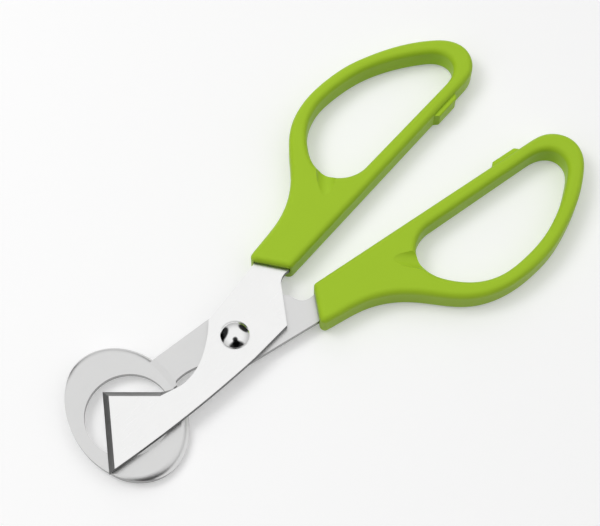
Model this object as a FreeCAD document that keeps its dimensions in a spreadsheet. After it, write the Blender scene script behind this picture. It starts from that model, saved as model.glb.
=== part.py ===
import FreeCAD, Part
import Sketcher
import math
import os

# Egg topper worked like a pair of scissors: a blade slides over a cup plate with a round egg hole.
# The pieces are drawn around the pivot, with +X towards the finger loops, Z up along the pivot and
# Z = 0 in the plane where the blade slides. The placement of each piece then moves the whole tool so
# that its origin is the middle of the egg hole. Lengths are in millimetres and angles in degrees.

Vector = FreeCAD.Vector
NEARLY_ZERO = 1e-5
BEND_STEPS = 4
PLATE_TOP = "Sizes.sliding_gap + Sizes.plate_thickness"
document = FreeCAD.newDocument("EggTopper")
sheet = document.addObject("Spreadsheet::Sheet", "Sizes")

single_sizes = {
    # steel sheet of both arms and the play between them
    "plate_thickness": 1.4,
    "sliding_gap": 0.06,
    # ground bevels of the blade: how far each reaches in from its cutting edge
    "side_bevel_width": 1.5,
    "front_bevel_width": 1.5,
    "cutting_edge_land": 0.1,
    # pivot rivet
    "rivet_shank_radius": 2.4,
    "rivet_running_fit": 0.03,
    "rivet_head_radius": 3.55,
    "rivet_head_rim": 0.45,
    "rivet_dome_height": 1.5,
    "rivet_head_gap": 0.05,
    "rivet_tail_radius": 3.5,
    "rivet_tail_rim": 0.4,
    "rivet_tail_dome": 0.5,
    # cup plate: an oval dish with rounded lobes and a round hole for the egg
    "cup_centre_x": -31.66,
    "cup_centre_y": 3.49,
    "cup_half_length": 18.3,
    "cup_half_width": 13.65,
    "cup_tilt": 11.3,
    "cup_drop": 0.25,
    "skirt_drop": 2.2,
    "skirt_slope": 22.0,
    "skirt_bend_radius": 1.7,
    "skirt_shift": 1.0,
    "skirt_extra_width": 1.3,
    "skirt_extra_length": 0.35,
    "egg_hole_x": -32.0,
    "egg_hole_y": 2.55,
    "egg_hole_radius": 10.45,
    "crease_width": 1.6,
    "relief_reach": 2.3,
    # moulded handles
    "handle_thickness": 7.2,
    "handle_edge_rounding": 1.5,
    "handle_end_rounding": 1.3,
    # slot in the handle's end that the arm passes through, and the tang held in the handle
    "slot_depth": 1.5,
    "slot_side_gap": 0.25,
    "slot_top_gap": 0.7,
    "slot_bottom_gap": 0.25,
    "shoulder_depth": 1.2,
    "tang_width": 6.0,
    "tang_length": 20.0,
    "tang_angle": 11.0,
    # stop pads that meet when the tool is closed
    "stop_setback": 3.3,
    "stop_length": 9.0,
    "stop_end_slope": 1.1,
    "stop_height": 1.15,
    "stop_thickness": 4.6,
    "stop_root": 1.6,
    "stop_rounding": 0.4,
    # thumb trough that runs from the neck down into the loop: its tip, direction, slope and size
    "scoop_tip_x": 41.8,
    "scoop_tip_y": 12.3,
    "scoop_heading": 44.0,
    "scoop_slope": 14.0,
    "scoop_radius": 3.0,
    "scoop_length": 11.0,
}

# Corner and through points of the outlines, seen from above with the pivot at (0, 0).
outline_points = {
    # blade arm
    "blade_tip": (-44.8, -6.0),
    "blade_belly": (-23.5, -7.6),
    "blade_back": (-0.5, -7.75),
    "blade_elbow": (11.0, -6.8),
    "blade_shoulder": (17.6, 2.6),
    "blade_throat": (19.0, 3.6),
    "blade_entry_low": (21.5, 3.85),
    "blade_entry_high": (16.6, 11.15),
    "blade_cheek": (-2.0, 7.4),
    "blade_curve_a": (-4.4, 4.95),
    "blade_curve_b": (-7.4, 2.55),
    "blade_curve_c": (-11.7, 0.05),
    "blade_curve_d": (-15.6, -0.95),
    "blade_curve_e": (-18.6, -0.9),
    "blade_heel": (-22.6, 1.45),
    "blade_corner": (-32.8, 11.0),
    # ring arm
    "ring_entry_low": (18.0, -10.85),
    "ring_cheek": (-2.0, -7.4),
    "ring_curve_a": (-4.4, -4.6),
    "ring_curve_b": (-7.4, -1.9),
    "ring_curve_c": (-11.9, 0.55),
    "ring_notch_a": (-17.4, 1.35),
    "ring_notch_b": (-18.2, 1.05),
    "ring_notch_c": (-18.5, 0.3),
    "ring_root_low": (-20.6, 0.3),
    "ring_root_high": (-20.6, 9.3),
    "ring_top": (-2.5, 8.15),
    "ring_elbow": (11.0, 6.8),
    "ring_shoulder": (17.4, -1.0),
    "ring_throat": (18.9, -4.1),
    "ring_entry_high": (22.1, -4.75),
    # handle, drawn on the blade side and mirrored for the ring side
    "blade_end_inner": (21.85, 3.37),
    "blade_end_outer": (15.5, 12.55),
    "ring_end_inner": (22.9, 3.5),
    "ring_end_outer": (16.7, 12.8),
    "neck_a": (24.0, 14.35),
    "neck_b": (29.0, 15.65),
    "neck_c": (34.0, 18.05),
    "neck_d": (38.0, 21.15),
    "neck_e": (42.0, 25.6),
    "back_a": (46.0, 30.35),
    "back_b": (50.0, 33.7),
    "back_c": (55.0, 36.05),
    "back_d": (60.5, 37.3),
    "back_e": (66.5, 37.6),
    "back_f": (73.0, 37.1),
    "back_g": (80.0, 35.3),
    "back_h": (88.0, 32.1),
    "back_i": (95.0, 27.8),
    "back_j": (98.9, 23.9),
    "back_k": (100.2, 19.8),
    "back_l": (98.6, 15.3),
    "back_m": (95.8, 13.0),
    "inner_end": (91.5, 11.95),
    "loop_low_a": (55.5, 11.45),
    "loop_low_b": (87.5, 14.95),
    "loop_a": (91.8, 16.1),
    "loop_b": (94.3, 18.7),
    "loop_c": (94.3, 22.0),
    "loop_d": (90.1, 26.3),
    "loop_e": (82.0, 30.7),
    "loop_f": (74.0, 33.25),
    "loop_g": (66.0, 34.0),
    "loop_h": (59.5, 33.5),
    "loop_i": (53.5, 30.95),
    "loop_j": (48.6, 26.0),
    "loop_k": (46.1, 20.6),
    "loop_l": (46.9, 15.6),
    "loop_m": (50.6, 12.3),
}

row = 1
for name, number in single_sizes.items():
    sheet.set("A%d" % row, str(number))
    sheet.setAlias("A%d" % row, name)
    row += 1
for name, (point_x, point_y) in outline_points.items():
    sheet.set("A%d" % row, str(point_x))
    sheet.setAlias("A%d" % row, name + "_x")
    sheet.set("B%d" % row, str(point_y))
    sheet.setAlias("B%d" % row, name + "_y")
    row += 1
document.recompute()


def size(name):
    return float(sheet.get(name))


def worked_out(expression):
    """The number that an expression of the sheet comes to."""
    return float(sheet.evalExpression(expression))


def point(name, mirrored=False):
    side = -1.0 if mirrored else 1.0
    return Vector(size(name + "_x"), side * size(name + "_y"), 0)


def unit(vector):
    return vector / vector.Length


def origin_plane(body, role):
    return [feature for feature in body.Origin.OriginFeatures if feature.Role == role][0]


def new_body(label):
    body = document.addObject("PartDesign::Body", label)
    body.Label = label
    return body


def new_sketch(body, name, role="XY_Plane", height=None):
    """A sketch on one of the body's own origin planes, lifted by an expression."""
    sketch = body.newObject("Sketcher::SketchObject", name)
    sketch.AttachmentSupport = [(origin_plane(body, role), "")]
    sketch.MapMode = "FlatFace"
    if height is not None:
        sketch.setExpression("AttachmentOffset.Base.z", height)
    return sketch


def move_frame(sketch, base_x, base_y, angle):
    """Puts the sketch's own origin and x direction where the expressions say."""
    sketch.setExpression("AttachmentOffset.Base.x", base_x)
    sketch.setExpression("AttachmentOffset.Base.y", base_y)
    sketch.setExpression("AttachmentOffset.Rotation.Angle", angle)


def bind(sketch, kind, references, expression, name):
    """A dimension of the sketch that follows an expression of the sheet."""
    number = sketch.addConstraint(Sketcher.Constraint(kind, *references, worked_out(expression)))
    sketch.renameConstraint(number, name)
    sketch.setExpression("Constraints." + name, expression)


def pin(sketch, geometry, position, name, mirrored=False):
    """Ties one end of a sketch line to a named outline point of the sheet."""
    sign = "-" if mirrored else ""
    bind(sketch, "DistanceX", (geometry, position), "Sizes." + name + "_x", name + "_x")
    bind(sketch, "DistanceY", (geometry, position), sign + "Sizes." + name + "_y", name + "_y")


def smooth_curve(points, start_direction=None, end_direction=None):
    """A spline through the points, along the given directions at its ends where there are any."""
    curve = Part.BSplineCurve()
    directions = [start_direction] + [None] * (len(points) - 2) + [end_direction]
    given = [direction is not None for direction in directions]
    if not any(given):
        curve.interpolate(Points=points)
        return curve
    tangents = [direction if direction is not None else Vector(1, 0, 0) for direction in directions]
    curve.interpolate(Points=points, Tangents=tangents, TangentFlags=given, Scale=False)
    return curve


def draw_outline(sketch, stretches, mirrored=False):
    """Closed outline. Each stretch lists its point names: two make a line, more make a curve.

    A curve that starts with "smooth" meets both lines beside it without a corner, and one that
    starts with "arrives" only the line after it.
    """
    geometries = []
    count = len(stretches)
    plain = [[name for name in names if name not in ("smooth", "arrives")] for names in stretches]
    for index, names in enumerate(plain):
        points = [point(name, mirrored) for name in names]
        if len(points) == 2:
            geometry = Part.LineSegment(points[0], points[1])
        else:
            flag = stretches[index][0]
            before = point(plain[index - 1][-2], mirrored)
            after = point(plain[(index + 1) % count][1], mirrored)
            start = unit(points[0] - before) if flag == "smooth" else None
            end = unit(after - points[-1]) if flag in ("smooth", "arrives") else None
            geometry = smooth_curve(points, start, end)
        geometries.append(sketch.addGeometry(geometry, False))
    for index, geometry in enumerate(geometries):
        following = geometries[(index + 1) % count]
        sketch.addConstraint(Sketcher.Constraint("Coincident", geometry, 2, following, 1))
    for geometry, names in zip(geometries, plain):
        pin(sketch, geometry, 1, names[0], mirrored)


def draw_profile(sketch, corners, domes=()):
    """Closed profile through corners given as pairs of expressions.

    The stretch after corner N is a straight line, or an arc of the radius domes[N].
    """
    places = [Vector(worked_out(across), worked_out(up), 0) for across, up in corners]
    count = len(places)
    for index, place in enumerate(places):
        following = places[(index + 1) % count]
        if index in domes:
            radius = worked_out(domes[index])
            chord = following - place
            rise = radius - math.sqrt(radius ** 2 - chord.Length ** 2 / 4)
            outward = Vector(chord.y, -chord.x, 0)
            middle = (place + following) / 2 + unit(outward) * rise
            sketch.addGeometry(Part.Arc(place, middle, following), False)
        else:
            sketch.addGeometry(Part.LineSegment(place, following), False)
    for index in range(count):
        following = (index + 1) % count
        sketch.addConstraint(Sketcher.Constraint("Coincident", index, 2, following, 1))
    for index, (across, up) in enumerate(corners):
        bind(sketch, "DistanceX", (index, 1), across, "across_%d" % index)
        bind(sketch, "DistanceY", (index, 1), up, "up_%d" % index)
    for index in domes:
        bind(sketch, "Radius", (index,), domes[index], "dome_%d" % index)


def draw_circle(sketch, radius, centre=None):
    """Circle of the radius that an expression gives, on the sketch's origin without a centre."""
    start = Vector(0, 0, 0)
    if centre is not None:
        start = Vector(worked_out(centre[0]), worked_out(centre[1]), 0)
    circle = Part.Circle(start, Vector(0, 0, 1), worked_out(radius))
    geometry = sketch.addGeometry(circle, False)
    bind(sketch, "Radius", (geometry,), radius, "radius_%d" % geometry)
    if centre is None:
        sketch.addConstraint(Sketcher.Constraint("Coincident", geometry, 3, -1, 1))
    else:
        bind(sketch, "DistanceX", (geometry, 3), centre[0], "centre_x")
        bind(sketch, "DistanceY", (geometry, 3), centre[1], "centre_y")


def draw_oval(sketch, half_length, half_width, shift=None):
    """Ellipse with its long axis along the sketch's x, shifted along y where a shift is given."""
    middle = Vector(0, 0 if shift is None else worked_out(shift), 0)
    oval = Part.Ellipse(middle, worked_out(half_length), worked_out(half_width))
    geometry = sketch.addGeometry(oval, False)
    sketch.exposeInternalGeometry(geometry)
    long_axis = geometry + 1
    short_axis = geometry + 2
    sketch.addConstraint(Sketcher.Constraint("Horizontal", long_axis))
    bind(sketch, "Distance", (long_axis,), "2 * (%s)" % half_length, "oval_length")
    bind(sketch, "Distance", (short_axis,), "2 * (%s)" % half_width, "oval_width")
    if shift is None:
        sketch.addConstraint(Sketcher.Constraint("Coincident", geometry, 3, -1, 1))
    else:
        sketch.addConstraint(Sketcher.Constraint("PointOnObject", geometry, 3, -2))
        bind(sketch, "DistanceY", (geometry, 3), shift, "oval_shift")


def pad(body, name, sketch, length, midplane=False):
    feature = body.newObject("PartDesign::Pad", name)
    feature.Profile = sketch
    feature.setExpression("Length", length)
    feature.Midplane = midplane
    return feature


def pocket_through(body, name, sketch):
    feature = body.newObject("PartDesign::Pocket", name)
    feature.Profile = sketch
    feature.Type = "ThroughAll"
    feature.Midplane = True
    return feature


def pocket_up(body, name, sketch, length):
    """Cuts upward from the sketch."""
    feature = body.newObject("PartDesign::Pocket", name)
    feature.Profile = sketch
    feature.setExpression("Length", length)
    feature.Reversed = True
    return feature


def round_edges(body, name, base, edges, radius):
    feature = body.newObject("PartDesign::Fillet", name)
    feature.Base = (base, edges)
    feature.setExpression("Radius", radius)
    return feature


def edges_where(feature, test):
    return ["Edge%d" % (number + 1) for number, edge in enumerate(feature.Shape.Edges) if test(edge)]


def lies_at(edge, height):
    box = edge.BoundBox
    return abs(box.ZMin - height) < NEARLY_ZERO and abs(box.ZMax - height) < NEARLY_ZERO


def stand_upright(sketch, base, inward):
    """Stands the sketch on a point of the outline: its x runs inward, its y upward."""
    upward = Vector(0, 0, 1)
    turn = FreeCAD.Rotation(inward, upward, inward.cross(upward), "ZXY")
    sketch.AttachmentOffset = FreeCAD.Placement(base, turn)


def bevel_sketch(body, name, base, inward, width):
    """Section of the steel that is ground away above a bevel, standing on its cutting edge."""
    sketch = new_sketch(body, name)
    stand_upright(sketch, base, inward)
    land = "Sizes.sliding_gap + Sizes.cutting_edge_land"
    above = PLATE_TOP + " + Sizes.plate_thickness"
    outside = "-Sizes.plate_thickness"
    draw_profile(sketch, [
        (outside, land),
        ("0", land),
        (width, PLATE_TOP),
        (width, above),
        (outside, above),
    ])
    return sketch


def entry_frame(prefix):
    """Where an arm goes into its handle: base point, angle and width of the entry line."""
    low = "Sizes.%s_entry_low" % prefix
    high = "Sizes.%s_entry_high" % prefix
    run = "(%s_x - %s_x)" % (high, low)
    climb = "(%s_y - %s_y)" % (high, low)
    angle = "atan2(%s; %s)" % (climb, run)
    width = "sqrt(%s^2 + %s^2)" % (run, climb)
    return low + "_x", low + "_y", angle, width


def draw_tang(sketch, prefix, side):
    """The narrow strip that holds an arm in its handle, from the middle of the entry line."""
    middle_x = "(Sizes.%s_entry_low_x + Sizes.%s_entry_high_x) / 2" % (prefix, prefix)
    middle_y = "(Sizes.%s_entry_low_y + Sizes.%s_entry_high_y) / 2" % (prefix, prefix)
    move_frame(sketch, middle_x, middle_y, side + "Sizes.tang_angle")
    half = "Sizes.tang_width / 2"
    draw_profile(sketch, [
        ("0", "-" + half),
        ("Sizes.tang_length", "-" + half),
        ("Sizes.tang_length", half),
        ("0", half),
    ])


def draw_entry_strip(sketch, prefix, extra, outside, inside):
    """A strip across the entry line, wider than the arm by extra on each side.

    It starts outside the handle and ends inside it, at the given distances from the line.
    """
    base_x, base_y, angle, width = entry_frame(prefix)
    move_frame(sketch, base_x, base_y, angle)
    draw_profile(sketch, [
        ("-(%s)" % extra, outside),
        ("%s + %s" % (width, extra), outside),
        ("%s + %s" % (width, extra), "-(%s)" % inside),
        ("-(%s)" % extra, "-(%s)" % inside),
    ])


def add_arm_end(body, prefix, side, base_height):
    """The arm's end inside the handle: a shoulder in the slot, then the tang."""
    shoulder = new_sketch(body, prefix + "_shoulder_sketch", height=base_height)
    draw_entry_strip(shoulder, prefix, "0", "0", "Sizes.shoulder_depth")
    pad(body, prefix + "_shoulder", shoulder, "Sizes.plate_thickness")
    tang = new_sketch(body, prefix + "_tang_sketch", height=base_height)
    draw_tang(tang, prefix, side)
    pad(body, prefix + "_tang", tang, "Sizes.plate_thickness")


def make_blade_arm():
    body = new_body("blade_arm")
    outline = new_sketch(body, "blade_outline", height="Sizes.sliding_gap")
    draw_outline(outline, [
        ["blade_entry_low", "blade_entry_high"],
        ["blade_entry_high", "blade_cheek"],
        ["arrives", "blade_cheek", "blade_curve_a", "blade_curve_b", "blade_curve_c",
         "blade_curve_d", "blade_curve_e", "blade_heel"],
        ["blade_heel", "blade_corner"],
        ["blade_corner", "blade_tip"],
        ["blade_tip", "blade_belly", "blade_back"],
        ["blade_back", "blade_elbow"],
        ["blade_elbow", "blade_shoulder"],
        ["blade_shoulder", "blade_throat", "blade_entry_low"],
    ])
    pad(body, "blade_plate", outline, "Sizes.plate_thickness")
    add_arm_end(body, "blade", "", "Sizes.sliding_gap")

    bore = new_sketch(body, "blade_bore_sketch")
    draw_circle(bore, "Sizes.rivet_shank_radius + Sizes.rivet_running_fit")
    pocket_through(body, "blade_bore", bore)

    corner = point("blade_corner")
    side_direction = unit(point("blade_tip") - corner)
    side_inward = Vector(-side_direction.y, side_direction.x, 0)
    side_section = bevel_sketch(body, "side_bevel_section", corner, side_inward,
                                "Sizes.side_bevel_width")
    pocket_through(body, "side_bevel", side_section)

    heel = point("blade_heel")
    front_direction = unit(heel - corner)
    front_inward = Vector(front_direction.y, -front_direction.x, 0)
    before_corner = corner - front_direction * size("front_bevel_width")
    run_out = point("blade_curve_e") - front_inward * size("front_bevel_width")
    sections = []
    for number, base in enumerate([before_corner, heel, run_out]):
        name = "front_bevel_section_%d" % (number + 1)
        sections.append(bevel_sketch(body, name, base, front_inward, "Sizes.front_bevel_width"))
    front_bevel = body.newObject("PartDesign::SubtractiveLoft", "front_bevel")
    front_bevel.Profile = sections[0]
    front_bevel.Sections = sections[1:]
    front_bevel.Ruled = True
    return body


def cup_sketch(body, name, height, half_length, half_width, shift=None):
    sketch = new_sketch(body, name, height=height)
    move_frame(sketch, "Sizes.cup_centre_x", "Sizes.cup_centre_y", "90 - Sizes.cup_tilt")
    draw_oval(sketch, half_length, half_width, shift)
    return sketch


def cup_loft(body, kind, name, bend_radius, below):
    """Loft from the skirt's rim, up its slope and over the bend, to the flat top.

    The outside of the sheet has the full bend radius and its inside one thickness less. Both
    bends share one centre line. The inside starts lower, by the expression below.
    """
    steepest = "(90 - Sizes.skirt_slope)"
    bend_drop = "Sizes.skirt_bend_radius * (1 - cos%s)" % steepest
    slope_run = "(Sizes.skirt_drop - %s) * tan(Sizes.skirt_slope)" % bend_drop
    centre_inset = "(%s + Sizes.skirt_bend_radius * sin%s)" % (slope_run, steepest)
    centre_height = "(-Sizes.cup_drop - Sizes.skirt_bend_radius)"
    sections = []
    for step in range(BEND_STEPS + 1):
        angle = "(%s * %d / %d)" % (steepest, BEND_STEPS - step, BEND_STEPS)
        inset = "(%s - (%s) * sin%s)" % (centre_inset, bend_radius, angle)
        height = "%s + (%s) * cos%s" % (centre_height, bend_radius, angle)
        sections.append(oval_section(body, "%s_%d" % (name, step), height, inset))
    rim_height = "-Sizes.cup_drop - Sizes.skirt_drop - (%s)" % below
    first_height = "%s + (%s) * cos%s" % (centre_height, bend_radius, steepest)
    first_inset = "(%s - (%s) * sin%s)" % (centre_inset, bend_radius, steepest)
    rim_inset = "(%s - ((%s) - (%s)) * tan(Sizes.skirt_slope))" % (
        first_inset, first_height, rim_height)
    rim = oval_section(body, name + "_rim", rim_height, rim_inset)
    skirt = body.newObject("PartDesign::%sLoft" % kind, name + "_skirt")
    skirt.Profile = rim
    skirt.Sections = [sections[0]]
    skirt.Ruled = True
    bend = body.newObject("PartDesign::%sLoft" % kind, name + "_bend")
    bend.Profile = sections[0]
    bend.Sections = sections[1:]


def oval_section(body, name, height, inset):
    """Oval of the skirt's outer rim, drawn in by the inset and lifted to the height."""
    rim_length = "Sizes.cup_half_length + Sizes.skirt_extra_length"
    rim_width = "Sizes.cup_half_width + Sizes.skirt_extra_width"
    return cup_sketch(body, name, height, "%s - %s" % (rim_length, inset),
                      "%s - %s" % (rim_width, inset), "Sizes.skirt_shift")


def make_ring_arm():
    body = new_body("ring_arm")
    cup_loft(body, "Additive", "dish_outside", "Sizes.skirt_bend_radius", "0")
    cup_loft(body, "Subtractive", "dish_inside",
             "Sizes.skirt_bend_radius - Sizes.plate_thickness", "Sizes.plate_thickness")

    trim = cup_sketch(body, "cup_trim_sketch", None, "Sizes.cup_half_length",
                      "Sizes.cup_half_width")
    draw_circle(trim, "2 * Sizes.cup_half_length")
    pocket_through(body, "cup_trim", trim)

    outline = new_sketch(body, "ring_outline", height="-Sizes.plate_thickness")
    draw_outline(outline, [
        ["ring_entry_low", "ring_cheek"],
        ["ring_cheek", "ring_curve_a", "ring_curve_b", "ring_curve_c", "ring_notch_a"],
        ["ring_notch_a", "ring_notch_b", "ring_notch_c"],
        ["ring_notch_c", "ring_root_low"],
        ["ring_root_low", "ring_root_high"],
        ["ring_root_high", "ring_top"],
        ["ring_top", "ring_elbow"],
        ["ring_elbow", "ring_shoulder"],
        ["ring_shoulder", "ring_throat", "ring_entry_high"],
        ["ring_entry_high", "ring_entry_low"],
    ])
    pad(body, "ring_plate", outline, "Sizes.plate_thickness")
    add_arm_end(body, "ring", "-", "-Sizes.plate_thickness")

    crease_low = cup_sketch(body, "crease_low", "-Sizes.cup_drop",
                            "Sizes.cup_half_length - Sizes.crease_width",
                            "Sizes.cup_half_width - Sizes.crease_width")
    crease_high = cup_sketch(body, "crease_high", "Sizes.cup_drop",
                             "Sizes.cup_half_length + Sizes.crease_width",
                             "Sizes.cup_half_width + Sizes.crease_width")
    crease = body.newObject("PartDesign::SubtractiveLoft", "crease")
    crease.Profile = crease_low
    crease.Sections = [crease_high]
    crease.Ruled = True

    relief = new_sketch(body, "relief_sketch", height="-Sizes.cup_drop - Sizes.skirt_drop")
    inner_x = "Sizes.ring_root_low_x - Sizes.relief_reach"
    outer_x = "Sizes.cup_centre_x + Sizes.cup_half_width + Sizes.relief_reach"
    draw_profile(relief, [
        (inner_x, "Sizes.ring_root_low_y"),
        (outer_x, "Sizes.ring_root_low_y"),
        (outer_x, "Sizes.ring_root_high_y"),
        (inner_x, "Sizes.ring_root_high_y"),
    ])
    pocket_up(body, "skirt_relief", relief, "Sizes.skirt_drop - Sizes.plate_thickness")

    hole = new_sketch(body, "egg_hole_sketch")
    draw_circle(hole, "Sizes.egg_hole_radius", ("Sizes.egg_hole_x", "Sizes.egg_hole_y"))
    pocket_through(body, "egg_hole", hole)

    bore = new_sketch(body, "ring_bore_sketch")
    draw_circle(bore, "Sizes.rivet_shank_radius")
    pocket_through(body, "ring_bore", bore)
    return body


NECK = ["neck_" + letter for letter in "abcde"]
BACK = ["back_" + letter for letter in "abcdefghijklm"]
LOOP = ["loop_" + letter for letter in "abcdefghijklm"]


def add_stop_pad(body, prefix, sign):
    """Raised pad on the inner edge; the two pads meet when the tool is closed."""
    run = "(Sizes.%s_end_inner_x - Sizes.inner_end_x)" % prefix
    climb = "(Sizes.%s_end_inner_y - Sizes.inner_end_y)" % prefix
    sketch = new_sketch(body, prefix + "_stop_sketch")
    move_frame(sketch, "Sizes.inner_end_x", sign + "Sizes.inner_end_y",
               "atan2(%s%s; %s)" % (sign, climb, run))
    near_end = "Sizes.stop_setback + Sizes.stop_length"
    root = "%s(-Sizes.stop_root)" % sign
    crest = "%s(Sizes.stop_height)" % sign
    draw_profile(sketch, [
        ("Sizes.stop_setback", root),
        (near_end, root),
        (near_end, "0"),
        (near_end + " - Sizes.stop_end_slope", crest),
        ("Sizes.stop_setback + Sizes.stop_end_slope", crest),
        ("Sizes.stop_setback", "0"),
    ])
    stop = pad(body, prefix + "_stop_pad", sketch, "Sizes.stop_thickness", midplane=True)
    document.recompute()
    placed = sketch.Placement.inverse()
    side = -1.0 if sign else 1.0

    def is_crest(edge):
        heights = [side * placed.multVec(vertex.Point).y for vertex in edge.Vertexes]
        return min(heights) > size("stop_height") - NEARLY_ZERO

    crest_edges = edges_where(stop, is_crest)
    round_edges(body, prefix + "_stop_rounding", stop, crest_edges, "Sizes.stop_rounding")


def add_scoops(body, prefix, sign):
    """Round-bottomed troughs above and below that slope from the neck down into the loop."""
    lift = "Sizes.handle_thickness / 2 + Sizes.scoop_radius / cos(Sizes.scoop_slope)"
    for name, up, steep in (("upper", "", "+"), ("lower", "-", "-")):
        scoop = body.newObject("PartDesign::SubtractiveCylinder", prefix + "_scoop_" + name)
        scoop.AttachmentSupport = [(origin_plane(body, "XY_Plane"), "")]
        scoop.MapMode = "FlatFace"
        scoop.setExpression("Radius", "Sizes.scoop_radius")
        scoop.setExpression("Height", "Sizes.scoop_length")
        scoop.setExpression("AttachmentOffset.Base.x", "Sizes.scoop_tip_x")
        scoop.setExpression("AttachmentOffset.Base.y", sign + "Sizes.scoop_tip_y")
        scoop.setExpression("AttachmentOffset.Base.z", "%s(%s)" % (up, lift))
        scoop.setExpression("AttachmentOffset.Rotation.Axis.x",
                            "-sin(%sSizes.scoop_heading)" % sign)
        scoop.setExpression("AttachmentOffset.Rotation.Axis.y", "cos(Sizes.scoop_heading)")
        scoop.setExpression("AttachmentOffset.Rotation.Axis.z", "0")
        scoop.setExpression("AttachmentOffset.Rotation.Angle",
                            "90 %s Sizes.scoop_slope" % steep)


def make_handle(prefix, mirrored, arm_base):
    """Moulded loop handle. The ring side is the blade side's mirror image, but for its end."""
    sign = "-" if mirrored else ""
    inner = prefix + "_end_inner"
    outer = prefix + "_end_outer"
    body = new_body(prefix + "_handle")
    outline = new_sketch(body, prefix + "_handle_outline")
    draw_outline(outline, [
        [inner, outer],
        ["arrives", outer] + NECK + BACK + ["inner_end"],
        ["inner_end", inner],
    ], mirrored)
    block = pad(body, prefix + "_handle_block", outline, "Sizes.handle_thickness", midplane=True)

    loop = new_sketch(body, prefix + "_loop_sketch")
    draw_outline(loop, [
        ["loop_low_a", "loop_low_b"],
        ["smooth", "loop_low_b"] + LOOP + ["loop_low_a"],
    ], mirrored)
    opened = pocket_through(body, prefix + "_loop", loop)
    document.recompute()

    half = size("handle_thickness") / 2
    end_inner = point(inner, mirrored)
    across_end = unit(point(outer, mirrored) - end_inner)

    def in_end_face(edge):
        offsets = [(vertex.Point - end_inner).cross(across_end).z for vertex in edge.Vertexes]
        return max(abs(offset) for offset in offsets) < NEARLY_ZERO

    long_edges = edges_where(opened, lambda edge: (lies_at(edge, half) or lies_at(edge, -half))
                             and not in_end_face(edge))
    rounded = round_edges(body, prefix + "_edges", opened, long_edges,
                          "Sizes.handle_edge_rounding")
    document.recompute()
    round_edges(body, prefix + "_end_rounding", rounded, edges_where(rounded, in_end_face),
                "Sizes.handle_end_rounding")
    add_stop_pad(body, prefix, sign)
    add_scoops(body, prefix, sign)

    slot_base = "%s - Sizes.slot_bottom_gap" % arm_base
    slot = new_sketch(body, prefix + "_slot_sketch", height=slot_base)
    draw_entry_strip(slot, prefix, "Sizes.slot_side_gap", "Sizes.slot_depth", "Sizes.slot_depth")
    pocket_up(body, prefix + "_slot", slot,
              "Sizes.plate_thickness + Sizes.slot_bottom_gap + Sizes.slot_top_gap")
    socket = new_sketch(body, prefix + "_socket_sketch", height=arm_base)
    draw_tang(socket, prefix, sign)
    pocket_up(body, prefix + "_socket", socket, "Sizes.plate_thickness")
    return body


def make_pivot_rivet():
    """Domed rivet on the pivot: head over the blade, shank through both arms, upset tail below."""
    body = new_body("pivot_rivet")
    head_under = PLATE_TOP + " + Sizes.rivet_head_gap"
    head_rim = head_under + " + Sizes.rivet_head_rim"
    head_top = head_rim + " + Sizes.rivet_dome_height"
    tail_top = "-Sizes.plate_thickness"
    tail_rim = tail_top + " - Sizes.rivet_tail_rim"
    tail_end = tail_rim + " - Sizes.rivet_tail_dome"
    profile = new_sketch(body, "rivet_profile", role="XZ_Plane")
    draw_profile(profile, [
        ("0", tail_end),
        ("Sizes.rivet_tail_radius", tail_rim),
        ("Sizes.rivet_tail_radius", tail_top),
        ("Sizes.rivet_shank_radius", tail_top),
        ("Sizes.rivet_shank_radius", head_under),
        ("Sizes.rivet_head_radius", head_under),
        ("Sizes.rivet_head_radius", head_rim),
        ("0", head_top),
    ], {
        0: dome_radius("Sizes.rivet_tail_radius", "Sizes.rivet_tail_dome"),
        6: dome_radius("Sizes.rivet_head_radius", "Sizes.rivet_dome_height"),
    })
    turned = body.newObject("PartDesign::Revolution", "turned_rivet")
    turned.Profile = profile
    turned.ReferenceAxis = (profile, ["V_Axis"])
    turned.Angle = 360
    return body


def dome_radius(rim_radius, rise):
    return "((%s)^2 + (%s)^2) / (2 * %s)" % (rim_radius, rise, rise)


def place_by_egg_hole(body):
    """Moves a finished piece so that the middle of the egg hole's wall is the tool's origin."""
    body.setExpression("Placement.Base.x", "-Sizes.egg_hole_x")
    body.setExpression("Placement.Base.y", "-Sizes.egg_hole_y")
    body.setExpression("Placement.Base.z", "Sizes.cup_drop + Sizes.plate_thickness / 2")


pieces = [
    make_blade_arm(),
    make_ring_arm(),
    make_handle("blade", False, "Sizes.sliding_gap"),
    make_handle("ring", True, "-Sizes.plate_thickness"),
    make_pivot_rivet(),
]
for piece in pieces:
    place_by_egg_hole(piece)
document.recompute()

for thing in document.Objects:
    if "Invalid" in thing.State or "Error" in thing.State:
        raise RuntimeError("%s could not be built: %s" % (thing.Name, thing.State))
for piece in pieces:
    if piece.Shape.isNull() or not piece.Shape.isValid():
        raise RuntimeError("%s has no valid solid" % piece.Label)

os.makedirs("parts", exist_ok=True)
for piece in pieces:
    piece.Shape.exportStep("parts/%s.step" % piece.Label)
    box = piece.Shape.BoundBox
    print(piece.Label, "%.1f mm3" % piece.Shape.Volume, len(piece.Shape.Solids), "solid",
          "%.1f x %.1f x %.1f mm" % (box.XLength, box.YLength, box.ZLength))
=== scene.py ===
import math

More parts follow.
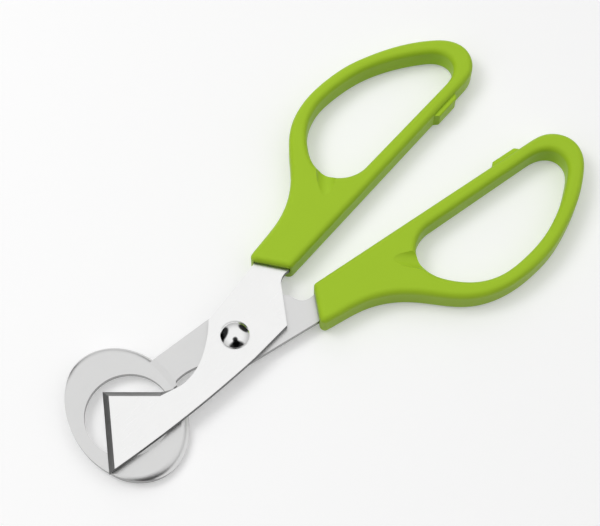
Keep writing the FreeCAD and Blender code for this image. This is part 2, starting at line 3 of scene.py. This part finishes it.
import bpy
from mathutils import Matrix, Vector


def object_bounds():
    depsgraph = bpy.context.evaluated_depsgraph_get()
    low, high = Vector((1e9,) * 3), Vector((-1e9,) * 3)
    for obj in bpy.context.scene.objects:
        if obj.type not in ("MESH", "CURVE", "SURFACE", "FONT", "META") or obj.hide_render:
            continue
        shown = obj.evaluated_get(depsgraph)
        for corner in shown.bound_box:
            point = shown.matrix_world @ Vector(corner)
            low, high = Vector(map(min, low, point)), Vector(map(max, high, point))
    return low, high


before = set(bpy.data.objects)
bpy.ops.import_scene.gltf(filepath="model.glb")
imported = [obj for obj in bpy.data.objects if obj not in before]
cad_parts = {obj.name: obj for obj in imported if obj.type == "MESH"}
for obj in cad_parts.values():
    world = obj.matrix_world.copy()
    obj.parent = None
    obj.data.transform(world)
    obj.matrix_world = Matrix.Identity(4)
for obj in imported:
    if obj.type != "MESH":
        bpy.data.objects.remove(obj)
cad_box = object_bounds()

# Lengths are in metres. The origin is the middle of the egg hole, +X runs towards the finger loops
# and Z = 0 lies halfway through the cup plate.
MM = 0.001
PIVOT = Vector((32.0, -2.55, 0.95)) * MM

# camera: the point it looks at, seen from the pivot, its distance from that point, how high it
# stands over it, the direction it looks in and the nearest that it sees
AIM_FROM_PIVOT = Vector((25.31, 3.93, 0.0)) * MM
CAMERA_DISTANCE = 364.5 * MM
CAMERA_ELEVATION = math.radians(64.05)
CAMERA_HEADING = math.radians(47.0)
NEAREST_SEEN = 10 * MM
PHOTO_WIDTH = 600.0
FOCAL_LENGTH_IN_PIXELS = 1458.0
SENSOR_WIDTH = 36.0

WHITE = (1, 1, 1, 1)
# noise stays between these values nearly everywhere
NOISE_LOW = 0.3
NOISE_HIGH = 0.7

# steel: its tone varies in faint clouds, with this many of them in a metre along each axis
CLOUD_DENSITY = (180, 180, 180)
CLOUD_SHADE = (0.97, 0.97, 0.965)
CLOUD_LIGHT = (1.0, 1.0, 0.995)
# brushed grain: marks in a metre along and across it, direction, and how much it roughens
GRAIN_DENSITY = (300, 9000, 9000)
GRAIN_DIRECTION = math.radians(8)
GRAIN_ROUGHENING = 0.03
GRAIN_STRENGTH = 0.06
GRAIN_DEPTH = 0.02 * MM
# upward part of the normal over which the painted shade and painted dark reflection on a cut edge,
# or on a ground bevel, goes over into the flat sheet
EDGE_PAINTED_SHADE_TO_FLAT = (0.1, 0.3)
BEVEL_PAINTED_SHADE_TO_FLAT = (0.86, 0.95)

# plastic: faint clouds of a deeper green, and a fine texture that varies the gloss
GREEN = (0.40, 0.62, 0.03)
DEEPER_SHARE = 0.95
GREEN_CLOUD_DENSITY = (90, 90, 90)
TEXTURE_DENSITY = (1800, 1800, 1800)
TEXTURE_ROUGHNESS = (0.38, 0.46)
TEXTURE_STRENGTH = 0.12
TEXTURE_DEPTH = 0.03 * MM
FINE_DETAIL = 3.0
PLASTIC_IOR = 1.46
PLASTIC_GLOSS = 0.35
PLASTIC_GLOSS_TINT = (0.7, 0.9, 0.35, 1)

FLOOR_SIZE = 6.0
FLOOR_GAP = 0.05 * MM
FLOOR_COLOUR = (0.77, 0.77, 0.77, 1)
# added to the floor where it is looked at, so that it is white away from the shadows
FLOOR_LIFT = 0.28

# soft lamp: the direction it stands in, seen from the pivot, distance, side length and watts
LAMP_DIRECTION = (-0.5, 0.9, 1.6)
LAMP_DISTANCE = 0.7
LAMP_SIZE = 0.30
LAMP_POWER = 1.5

# light of the studio at the horizon and from SKY_HIGH_FROM (sine of the elevation) up; 1 is white
SKY_LOW = 0.55
SKY_HIGH = 1.0
SKY_HIGH_FROM = 0.85
# dark screens, in degrees: heading, elevation, radius of the dark middle, radius of its soft edge
DARK_SCREENS = (
    (116, 16, 26, 36),
    (136, 4, 18, 28),
    (10, 16, 18, 28),
    (232, 68, 10, 18),
    (236, 45, 15, 25),
    (238, 16, 34, 50),
)
LIGHT_LEFT_BY_SCREEN = 0.03


def new_material(name):
    material = bpy.data.materials.new(name)
    material.use_nodes = True
    tree = material.node_tree
    shader = tree.nodes["Principled BSDF"]
    return material, tree, shader


def add_node(tree, kind, **settings):
    node = tree.nodes.new(kind)
    for key, setting in settings.items():
        setattr(node, key, setting)
    return node


def noise(tree, density, detail=2.0, direction=0.0):
    """Noise with so many marks in a metre along each axis, turned to the direction."""
    place = add_node(tree, "ShaderNodeTexCoord")
    mapping = add_node(tree, "ShaderNodeMapping")
    mapping.inputs["Rotation"].default_value = (0, 0, -direction)
    mapping.inputs["Scale"].default_value = density
    tree.links.new(place.outputs["Object"], mapping.inputs["Vector"])
    node = add_node(tree, "ShaderNodeTexNoise")
    node.inputs["Scale"].default_value = 1.0
    node.inputs["Detail"].default_value = detail
    tree.links.new(mapping.outputs["Vector"], node.inputs["Vector"])
    return node.outputs["Fac"]


def map_range(tree, source, low, high, at_low, at_high, interpolation="LINEAR"):
    node = add_node(tree, "ShaderNodeMapRange", interpolation_type=interpolation)
    node.inputs["From Min"].default_value = low
    node.inputs["From Max"].default_value = high
    node.inputs["To Min"].default_value = at_low
    node.inputs["To Max"].default_value = at_high
    tree.links.new(source, node.inputs["Value"])
    return node.outputs["Result"]


def spread(tree, noise_value, low, high):
    """Spreads a noise from the low to the high value."""
    return map_range(tree, noise_value, NOISE_LOW, NOISE_HIGH, low, high)


def smooth_step(tree, source, low, high, at_low, at_high):
    return map_range(tree, source, low, high, at_low, at_high, "SMOOTHSTEP")


def blend(tree, share, first, second):
    """Colour that goes from the first to the second as the share goes from 0 to 1."""
    node = add_node(tree, "ShaderNodeMix", data_type="RGBA")
    node.inputs["A"].default_value = first
    node.inputs["B"].default_value = second
    tree.links.new(share, node.inputs["Factor"])
    return node.outputs["Result"]


def add_bump(tree, shader, height, strength, depth):
    bump = add_node(tree, "ShaderNodeBump")
    bump.inputs["Strength"].default_value = strength
    bump.inputs["Distance"].default_value = depth
    tree.links.new(height, bump.inputs["Height"])
    tree.links.new(bump.outputs["Normal"], shader.inputs["Normal"])


def along(tree, view, direction):
    """How far the looked-at direction lies along another one."""
    node = add_node(tree, "ShaderNodeVectorMath", operation="DOT_PRODUCT")
    node.inputs[1].default_value = direction
    tree.links.new(view, node.inputs[0])
    return node.outputs["Value"]


def calculate(tree, operation, *terms):
    node = add_node(tree, "ShaderNodeMath", operation=operation)
    for socket, term in zip(node.inputs, terms):
        if isinstance(term, (int, float)):
            socket.default_value = term
        else:
            tree.links.new(term, socket)
    return node.outputs["Value"]


def painted_shade_share(tree, edge_tone_under_painted_shade, bevel_tone_under_painted_shade):
    """1 on the flat sheet, and the given shares on its cut edges and ground bevels, which are
    darkened there as painted shade and painted dark reflection.
    """
    place = add_node(tree, "ShaderNodeTexCoord")
    normal = add_node(tree, "ShaderNodeSeparateXYZ")
    tree.links.new(place.outputs["Normal"], normal.inputs["Vector"])
    flatness = calculate(tree, "ABSOLUTE", normal.outputs["Z"])
    painted_edge_shade = smooth_step(tree, flatness, *EDGE_PAINTED_SHADE_TO_FLAT, edge_tone_under_painted_shade, 1.0)
    painted_bevel_shade = smooth_step(tree, flatness, *BEVEL_PAINTED_SHADE_TO_FLAT, bevel_tone_under_painted_shade, 1.0)
    return calculate(tree, "MULTIPLY", painted_edge_shade, painted_bevel_shade)


def steel(name, tone, roughness, edge_tone_under_painted_shade, bevel_tone_under_painted_shade=1.0, grain_direction=GRAIN_DIRECTION):
    """Stainless sheet with a faint brushed grain along one direction.

    The shares are what is left of the tone on the cut edges and on the ground bevels, which are
    darkened there as painted shade and painted dark reflection.
    """
    material, tree, shader = new_material(name)
    shader.inputs["Metallic"].default_value = 1.0
    shade = tuple(tone * channel for channel in CLOUD_SHADE) + (1,)
    light = tuple(tone * channel for channel in CLOUD_LIGHT) + (1,)
    cloudy = blend(tree, noise(tree, CLOUD_DENSITY), shade, light)
    tone_with_painted_shade = add_node(tree, "ShaderNodeVectorMath", operation="SCALE")
    tree.links.new(cloudy, tone_with_painted_shade.inputs["Vector"])
    # darkens faces that tilt away from up: painted shade and painted dark reflection on the cut
    # edges and bevels
    tree.links.new(painted_shade_share(tree, edge_tone_under_painted_shade, bevel_tone_under_painted_shade), tone_with_painted_shade.inputs["Scale"])
    tree.links.new(tone_with_painted_shade.outputs["Vector"], shader.inputs["Base Color"])

    grain = noise(tree, GRAIN_DENSITY, FINE_DETAIL, grain_direction)
    rough = spread(tree, grain, roughness - GRAIN_ROUGHENING, roughness + GRAIN_ROUGHENING)
    tree.links.new(rough, shader.inputs["Roughness"])
    add_bump(tree, shader, grain, GRAIN_STRENGTH, GRAIN_DEPTH)
    return material


def plastic(name, colour):
    """Moulded plastic with a soft gloss and a very fine surface texture."""
    material, tree, shader = new_material(name)
    deep = tuple(channel * DEEPER_SHARE for channel in colour)
    cloudy = blend(tree, noise(tree, GREEN_CLOUD_DENSITY), deep + (1,), colour + (1,))
    tree.links.new(cloudy, shader.inputs["Base Color"])
    texture = noise(tree, TEXTURE_DENSITY, FINE_DETAIL)
    tree.links.new(spread(tree, texture, *TEXTURE_ROUGHNESS), shader.inputs["Roughness"])
    add_bump(tree, shader, texture, TEXTURE_STRENGTH, TEXTURE_DEPTH)
    shader.inputs["IOR"].default_value = PLASTIC_IOR
    shader.inputs["Specular IOR Level"].default_value = PLASTIC_GLOSS
    shader.inputs["Specular Tint"].default_value = PLASTIC_GLOSS_TINT
    return material


def dress(node_name, material):
    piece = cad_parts[node_name]
    piece.data.materials.clear()
    piece.data.materials.append(material)


def dress_all():
    green = plastic("green_plastic", GREEN)
    # the edge and bevel tones below are painted shade and painted dark reflection on faces that tilt
    # away from up
    dress("blade_arm", steel("blade_steel", tone=0.93, roughness=0.30, edge_tone_under_painted_shade=0.25,
                             bevel_tone_under_painted_shade=0.45))
    dress("ring_arm", steel("cup_steel", tone=0.75, roughness=0.36, edge_tone_under_painted_shade=0.5))
    dress("pivot_rivet", steel("rivet_steel", tone=0.88, roughness=0.10, edge_tone_under_painted_shade=0.6,
                               grain_direction=0.0))
    dress("blade_handle", green)
    dress("ring_handle", green)


def seen_share(tree):
    """1 where the camera looks straight at the surface, in a reflection or through something."""
    rays = add_node(tree, "ShaderNodeLightPath")
    straight_or_reflected = calculate(tree, "MAXIMUM", rays.outputs["Is Camera Ray"],
                                      rays.outputs["Is Glossy Ray"])
    return calculate(tree, "MAXIMUM", straight_or_reflected, rays.outputs["Is Transmission Ray"])


def add_floor():
    lowest = cad_box[0][2]
    bpy.ops.mesh.primitive_plane_add(size=FLOOR_SIZE, location=(0, 0, lowest - FLOOR_GAP))
    floor = bpy.context.object
    floor.name = "floor"
    material, tree, shader = new_material("floor")
    shader.inputs["Base Color"].default_value = FLOOR_COLOUR
    shader.inputs["Roughness"].default_value = 1.0
    shader.inputs["Emission Color"].default_value = WHITE
    lift = calculate(tree, "MULTIPLY", seen_share(tree), FLOOR_LIFT)
    tree.links.new(lift, shader.inputs["Emission Strength"])
    floor.data.materials.append(material)


def add_lamp():
    """Square soft lamp that faces the tool."""
    light = bpy.data.lights.new("key", "AREA")
    light.shape = "SQUARE"
    light.size = LAMP_SIZE
    light.energy = LAMP_POWER
    lamp = bpy.data.objects.new("key", light)
    towards = Vector(LAMP_DIRECTION).normalized()
    lamp.location = PIVOT + towards * LAMP_DISTANCE
    lamp.rotation_euler = towards.to_track_quat("Z", "Y").to_euler()
    lamp.visible_glossy = False
    bpy.context.scene.collection.objects.link(lamp)


def direction_of(heading, elevation):
    """Unit vector of a direction given in degrees round from +X and up from the floor."""
    turn = math.radians(heading)
    rise = math.radians(elevation)
    return Vector((math.cos(turn) * math.cos(rise), math.sin(turn) * math.cos(rise), math.sin(rise)))


def dark_spot(tree, view, heading, elevation, inner, outer):
    """Share of light left by a dark screen: angles in degrees from the screen's middle."""
    nearness = along(tree, view, direction_of(heading, elevation))
    low = math.cos(math.radians(outer))
    high = math.cos(math.radians(inner))
    return smooth_step(tree, nearness, low, high, 1.0, LIGHT_LEFT_BY_SCREEN)


def add_world():
    """Softly lit studio: bright above, dimmer near the horizon, with dark screens round it.

    The camera itself sees it white.
    """
    world = bpy.data.worlds.new("studio")
    world.use_nodes = True
    tree = world.node_tree
    background = tree.nodes["Background"]
    view = add_node(tree, "ShaderNodeTexCoord").outputs["Generated"]
    height = along(tree, view, (0, 0, 1))
    light = smooth_step(tree, height, 0.0, SKY_HIGH_FROM, SKY_LOW, SKY_HIGH)
    for screen in DARK_SCREENS:
        light = calculate(tree, "MULTIPLY", light, dark_spot(tree, view, *screen))
    seen = add_node(tree, "ShaderNodeLightPath").outputs["Is Camera Ray"]
    strength = add_node(tree, "ShaderNodeMix", data_type="FLOAT")
    tree.links.new(seen, strength.inputs["Factor"])
    tree.links.new(light, strength.inputs["A"])
    strength.inputs["B"].default_value = 1.0
    tree.links.new(strength.outputs["Result"], background.inputs["Strength"])
    background.inputs["Color"].default_value = WHITE
    bpy.context.scene.world = world


def add_camera():
    camera_data = bpy.data.cameras.new("camera")
    camera_data.sensor_width = SENSOR_WIDTH
    camera_data.lens = FOCAL_LENGTH_IN_PIXELS * SENSOR_WIDTH / PHOTO_WIDTH
    camera_data.clip_start = NEAREST_SEEN
    camera = bpy.data.objects.new("camera", camera_data)
    aim = PIVOT + AIM_FROM_PIVOT
    flat = Vector((math.cos(CAMERA_HEADING), math.sin(CAMERA_HEADING), 0))
    back = -flat * math.cos(CAMERA_ELEVATION) + Vector((0, 0, math.sin(CAMERA_ELEVATION)))
    camera.location = aim + back * CAMERA_DISTANCE
    camera.rotation_euler = back.to_track_quat("Z", "Y").to_euler()
    bpy.context.scene.collection.objects.link(camera)
    bpy.context.scene.camera = camera


dress_all()
add_floor()
add_world()
add_lamp()
add_camera()
bpy.context.scene.view_settings.view_transform = "Standard"
